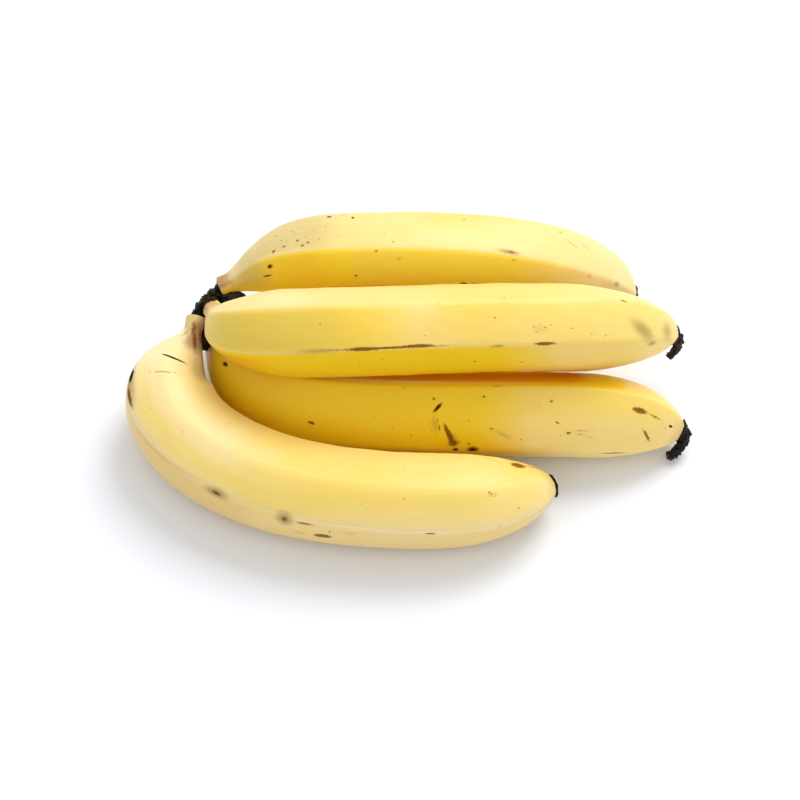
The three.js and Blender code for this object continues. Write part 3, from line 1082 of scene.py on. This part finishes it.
def fingers() -> list[Finger]:
    """The four fingers of the bunch.

    Returns:
        The fingers, from the back one to the front one.
    """
    back = Finger(
        name="back",
        path=[
            (-72.5, 95, 31), (-61, 98.5, 34.5), (-46, 100.5, 43), (-8, 99, 48),
            (33, 100, 46), (74.5, 104, 29), (96, 109.5, 6),
        ],
        radius=17.6, stalk=4, flare=47, taper=56, edges=(-33, 39, 111, 183, 255), seed=11,
        # The gold areas are painted shade on the lower face, turned from the light, deepest along the top
        # finger; this finger's brighter gold is that shade lit by its neighbour.
        finish=PeelFinish(shade_gold="#F9D730", seed=11.0),
        worn=(0.1, 0.5, 0.3, 0.3, 0.3),
        areas=[
            Area(SHADE_GOLD, (-125, -31), (16, 60), soft=4, fade=34, depth=1.3),
            Area(SHADE_GOLD, (-125, -31), (20, 140), soft=4, fade=60, depth=0.7),
            Area(SHADE_GOLD, (-150, -70), (-9, 40), soft=18, fade=12),
            Area(SHADE_GOLD, (-118, -84), (25, 100), soft=8, fade=30, depth=1.9),
            Area(TAN, (-125, -31), (152, 200), soft=8, fade=30, depth=0.7),
            Area(GREEN, (-95, 60), (5, 26), soft=24, fade=18, depth=0.6),
            Area(GREEN, (-33, 70), (14, 54), soft=16, fade=24, depth=0.6),
            Area(ROSE, (-60, 90), (-9, 6), soft=30, fade=9, depth=0.8),
        ],
        marks=[
            Mark(26.5, -45, 3, 2.2, 20), Mark(26.5, -45, 1.6, 1.2, 20, BLACK, 0.7), Mark(24, -62, 5, 1.2),
            Mark(29, -22, 1.8, 1.4), Mark(33, -18, 1.5, 1.2), Mark(38, -12, 1.6, 1.0),
            Mark(42, -18, 1.5, 1.2), Mark(40, -22, 1.7, 1.2), Mark(49, 30, 2.4, 1.5, 0, BLACK, 0.9),
            Mark(58, 25, 1.9, 1.7, 0, BLACK, 0.8), Mark(54, 33, 6, 0.9, 0, BLACK, 0.6),
            Mark(67, -35, 2.2, 1.1, 0, BROWN, 0.7), Mark(75, -45, 2.6, 1.6, 0, BRUISE, 0.6),
            Mark(59, -70, 1.5, 1.1), Mark(99, 24, 1.7, 1.4, 0, BRUISE),
            Mark(106, 42, 16, 1.4, 0, BLACK, 0.5), Mark(114, -27, 10, 2.6, -4, BRUISE),
            Mark(115, -27, 4, 1.2, -4, BROWN, 0.7), Mark(99.5, -81, 3.6, 1.8, 0, BLACK),
            Mark(104, -80, 6, 1.2), Mark(140, 6, 9, 0.8, -40, BRUISE), Mark(146, 10, 8, 0.7, -40, BRUISE),
            Mark(136, 25, 1.8, 1.5, 0, BRUISE), Mark(161, -35, 3.6, 3.0, 0, BRUISE, 0.9),
            Mark(147, -38, 3.4, 1.6, 0, BRUISE, 0.6),
        ],
        specks=[
            (32, -5), (36, 8), (30, 10), (44, 4), (70, -10), (53, -10), (73, -22), (116, -37), (34, -10),
            (37, 2), (41, -8), (46, -14), (28, 0), (39, 14), (48, 8),
        ],
    )
    top = Finger(
        name="top",
        path=[
            (-76, 86, 31), (-70.5, 73.8, 37), (-59, 57, 51.6), (-24, 54.6, 56.8),
            (17, 59, 53), (54, 60.5, 52.4), (87, 65.8, 43.6), (108, 73.5, 29),
        ],
        radius=18.9, slim=0.02, stalk=6, flare=54, taper=53, edges=(-10, 46, 116, 184, 254), seed=12,
        worn=(0.3, 0.1, 0.3, 0.3, 0.3),
        # Gold here is painted shade: deepest on the lower side, turned from the light and lying on the
        # under finger, milder on other faces near the neck and the tip.
        areas=[
            Area(SHADE_GOLD, (-130, -11), (14, 152), soft=4, fade=80),
            Area(SHADE_GOLD, (-130, -16), (14, 60), soft=6, fade=50, depth=1.55),
            Area(SHADE_GOLD, (-130, 46), (90, 215), soft=8, fade=80, depth=0.45),
            Area(SHADE_GOLD, (46, 130), (8, 50), soft=12, fade=30, depth=0.4),
            Area(GREEN, (-12, 46), (14, 84), soft=12, fade=50, depth=0.5),
            Area(SHADE_GOLD, (-12, 46), (10, 100), soft=10, fade=70, depth=0.75),
            Area(TAN, (-40, 110), (-9, 22), soft=20, fade=12, depth=0.8),
            Area(ROSE, (20, 110), (-9, 10), soft=24, fade=10, depth=0.5),
        ],
        marks=[
            Mark(81, -9, 14, 1.9), Mark(90, -8.7, 54, 1.3, 0, BROWN, 0.8), Mark(101, -8, 15, 1.6),
            Mark(66, -9, 18, 3.0, 0, BRUISE, 0.6), Mark(131, -11, 9, 2.0, 0, BROWN, 0.5),
            Mark(148, -9.5, 9, 1.7), Mark(146, 8, 8, 5, 0, BRUISE, 0.35),
            Mark(184, 5, 17, 7, -43, BRUISE, 0.8), Mark(189, -16, 4.5, 3, 0, BRUISE),
            Mark(197, -3, 10, 5, -50, BRUISE, 0.5), Mark(197, 5, 9, 9, 0, BRUISE, 0.7),
            Mark(0, 0, 9, 400, 0, BLACK), Mark(177, 46, 4.8, 1.0, -15, BROWN, 0.9),
            Mark(123, -40, 1.6, 1.2), Mark(141, -45, 1.4, 1.0),
        ],
        specks=[
            (145, 5), (148, 10), (144, 11), (169, -2), (164, 1), (157, 8), (103.5, 4), (79, 57), (67, 24),
            (118, -30), (150, 13), (146, 14),
        ],
        strands=[Strand(
            [(109, 73.8, 28.4), (111.5, 73, 27.5), (112, 71.8, 25.5), (110.5, 70, 22.5), (107.9, 68, 20)],
            [2.0, 1.8, 1.6, 1.7, 1.3],
        )],
    )
    under = Finger(
        name="under",
        path=[
            (-76.5, 84, 20), (-72, 72, 17.4), (-60, 56.4, 16.4), (-28, 45.4, 19.6),
            (15, 43, 20.2), (61, 43.2, 20.4), (93, 42.8, 18.2), (111, 39.3, 11.5),
        ],
        radius=19.3, stalk=3, flare=56, taper=42, edges=(-9, -66, -118, -178, 75), seed=13,
        worn=(0.2, 0.3, 0.3, 0.3, 0.2),
        # Gold here is the top finger's painted shadow over the whole front of this finger, deepening to
        # painted orange shade along the line where the top finger lies on it.
        areas=[
            Area(SHADE_GOLD, (-50, 140), (8, 138), soft=20, fade=70),
            Area(SHADE_GOLD, (-50, 140), (12, 70), soft=20, fade=50, depth=1.25),
            Area(SHADE_GOLD, (-50, 140), (120, 215), soft=20, fade=70, depth=0.4),
            Area(SHADE_GOLD, (76, 200), (6, 178), soft=10, fade=12, depth=1.3),
            Area(SHADE_GOLD, (81, 145), (20, 168), soft=13, fade=24, depth=2.1),
            Area(TAN, (-20, 90), (-9, 14), soft=20, fade=10, depth=0.7),
            Area(ROSE, (-20, 90), (-9, 6), soft=20, fade=8, depth=0.6),
        ],
        marks=[
            # The first black mark, round the whole root, is painted shade where this neck lies deep
            # between the others.
            Mark(3, 30, 18, 120, 0, BLACK), Mark(23, 62, 3.4, 2.6), Mark(23, 62, 2.2, 1.6, 0, BLACK, 0.8),
            Mark(62, 19, 3.2, 1.7, -20), Mark(108, 49, 6.5, 1.9, 55),
            Mark(108, 49, 4.5, 1.0, 55, BLACK, 0.9), Mark(106.5, 60, 1.4, 1.2),
            Mark(107, 26, 12, 2.2, -80, BRUISE, 0.6), Mark(108.5, 24, 10, 0.8, -80, BROWN, 0.8),
            Mark(105.5, 24, 9, 0.7, -82, BROWN, 0.6), Mark(112.5, 12, 13, 2.4, -69),
            Mark(114, 6, 9, 5, -69, BRUISE, 0.7), Mark(114, 1, 4.4, 3.4), Mark(115, -8, 2.8, 2.2),
            Mark(115, -8, 1.8, 1.4, 0, BLACK, 0.8), Mark(121.5, -8, 5.4, 3.4),
            Mark(121.5, -8, 3.4, 1.8, 0, BLACK, 0.8), Mark(120, 0, 1.4, 1.1), Mark(125.5, 63, 1.3, 1.2),
            Mark(151, 58, 2.0, 1.2, 30, BROWN, 0.8), Mark(128.5, 21, 1.6, 1.2),
            Mark(153.5, 30, 2.2, 1.0, -30), Mark(133, 13, 12, 2.6, -34, BRUISE, 0.5),
            Mark(164, 20, 11, 0.7, 2, BROWN, 0.7), Mark(161, 15, 8, 0.7, -3, BROWN, 0.7),
            Mark(166, 12, 7, 0.7, 0, BROWN, 0.7), Mark(158, 16, 2.2, 1.3),
            Mark(131, 76, 7, 1.2, 0, BROWN, 0.5), Mark(184, 55, 6.6, 3.0, -5),
            Mark(190, 52, 9, 1.4, -10, BROWN, 0.6), Mark(189, 18, 9, 1.6, -51, BROWN, 0.8),
            Mark(177, -13, 15, 1.2), Mark(198, 45, 2.2, 1.4, 0, BLACK), Mark(95, 72, 4, 2, 0, BRUISE, 0.5),
        ],
        specks=[
            (120, 32), (146, 50), (116.5, 3), (91, 19), (85, 34), (98, 11), (155, 12), (140, 6), (196, 38),
        ],
        strands=[Strand(
            [
                (112, 40, 11.8), (113.5, 38.5, 10.5), (113, 36.2, 8.3), (111, 33.6, 6),
                (108.3, 31.8, 4.6), (106.3, 31.4, 4.6),
            ],
            [2.2, 2.0, 1.9, 2.0, 2.0, 1.6],
        )],
    )
    front = Finger(
        name="front",
        path=[
            (-82, 81, 29), (-83, 71.5, 27), (-94, 54, 20.5), (-85.5, 30.5, 19.2),
            (-54, 10.5, 19.5), (-15, 2.6, 19.5), (35, 2.5, 18.8), (58.6, 12, 15),
        ],
        radius=20.8, slim=0.07, stalk=6, flare=37, taper=48, edges=(132, 70, 25, -52, -132), twist=30,
        seed=14,
        # This finger's paler, creamier pale and warm colours are painted highlight.
        finish=PeelFinish(pale="#FAE4B0", warm="#F4D77C", seed=14.0),
        worn=(0.3, 0.1, 0.45, 0.3, 0.3),
        # Tan on the lower band is painted reflection of the white floor; gold is painted shade, strongest
        # on the inner edge in the other fingers' shade.
        areas=[
            Area(TAN, (-75, 22), (30, 96), soft=9, fade=30, depth=0.8),
            Area(TAN, (-75, 22), (70, 215), soft=9, fade=30, depth=0.5),
            Area(SHADE_GOLD, (26, 55), (20, 110), soft=10, fade=60, depth=0.4),
            Area(SHADE_GOLD, (140, 190), (25, 200), soft=4, fade=20, depth=1.0),
            Area(SHADE_GOLD, (22, 140), (85, 215), soft=12, fade=70, depth=0.4),
            Area(SHADE_GOLD, (-75, 22), (80, 215), soft=12, fade=60, depth=0.35),
            Area(GREEN, (-50, 165), (-9, 7), soft=20, fade=8, depth=1.0),
            Area(GREEN, (110, 170), (14, 40), soft=15, fade=16, depth=0.7),
            Area(ROSE, (70, 165), (2, 14), soft=24, fade=10, depth=1.0),
        ],
        marks=[
            Mark(22, 103, 15.5, 1.1, 90, BLACK), Mark(31.5, 92, 12, 1.2, 90, BROWN, 0.6),
            Mark(6, 110, 9, 4, 20, BROWN, 0.6), Mark(10, 130, 12, 3, 20, BROWN, 0.7),
            Mark(8, 158, 11, 5, 0, BROWN, 0.6), Mark(8, 84, 8, 4, 0, BROWN, 0.45),
            Mark(33, 44, 16, 8, 10, BRUISE), Mark(31, 46, 7, 4, 10, BLACK, 0.75),
            Mark(37, 42, 10, 4.5, 10, BROWN, 0.8), Mark(58, 34, 44, 3.2, 3, BRUISE, 0.42),
            Mark(30, 50, 1.4, 1.2, 0, BLACK, 0.8), Mark(80, 30, 10, 6.5, 0, BRUISE),
            Mark(80, 30, 5, 3, 0, BROWN, 0.7), Mark(104, 23, 10, 7, 90, BRUISE),
            Mark(104, 23, 5, 3.5, 90, BROWN, 0.6), Mark(111, 22, 9, 2.4, 0, BROWN, 0.6),
            Mark(109, -2, 6, 3.5, 0, BRUISE, 0.5), Mark(117, -1, 7.5, 4.4, 0, BROWN, 0.95),
            Mark(119.5, 12, 1.3, 1.2, 0, BLACK, 0.8), Mark(118.5, 3, 1.3, 1.2, 0, BLACK, 0.8),
            Mark(127, 14, 6, 2.4, 0, BRUISE, 0.45), Mark(154.5, 21, 5.4, 1.1),
            Mark(176, 66, 4.5, 3.2, 0, BROWN, 0.4), Mark(189.5, 117, 7.4, 4.2),
            Mark(196, 122, 9, 0.9, 0, BROWN, 0.9),
        ],
        specks=[
            (45, 65), (60, 73), (170, 8), (185, 40), (178, 20), (194, 10), (145, 99), (145, 63), (31, 76),
            (31.5, 84), (32, 99), (31, 107), (34, 88), (175, 68), (177, 63),
        ],
    )
    return [back, top, under, front]


def main() -> None:
    """Build the bunch and its studio and report each piece."""
    logging.basicConfig(level=logging.INFO, format="%(message)s")
    black = DriedFinish(dark="#0B0806", light="#2B2019", roughness=0.42)
    brown = DriedFinish(dark="#110C09", light="#4C3A2A", grain=1.2)
    Crown(
        path=[(-70.5, 97.5, 32), (-73, 93.5, 29), (-77, 89, 25.8), (-81, 84.5, 24.8), (-82.5, 81.5, 25.5)],
        half_height=[2.0, 5.0, 8.0, 8.5, 4.5],
        half_width=[1.4, 2.2, 2.7, 2.8, 2.0],
        lobes=[((-67.6, 90.6, 28.6), (5.6, 2.9, 3.9), 20), ((-78.6, 77.0, 22.5), (2.6, 6.5, 4.0), 0)],
        finish=black,
    ).build()
    for i, finger in enumerate(fingers()):
        finger.build()
        BlossomEnd(finger, brown, seed=20 + 10 * i).build()
    Studio().build()


if __name__ == "__main__":
    main()
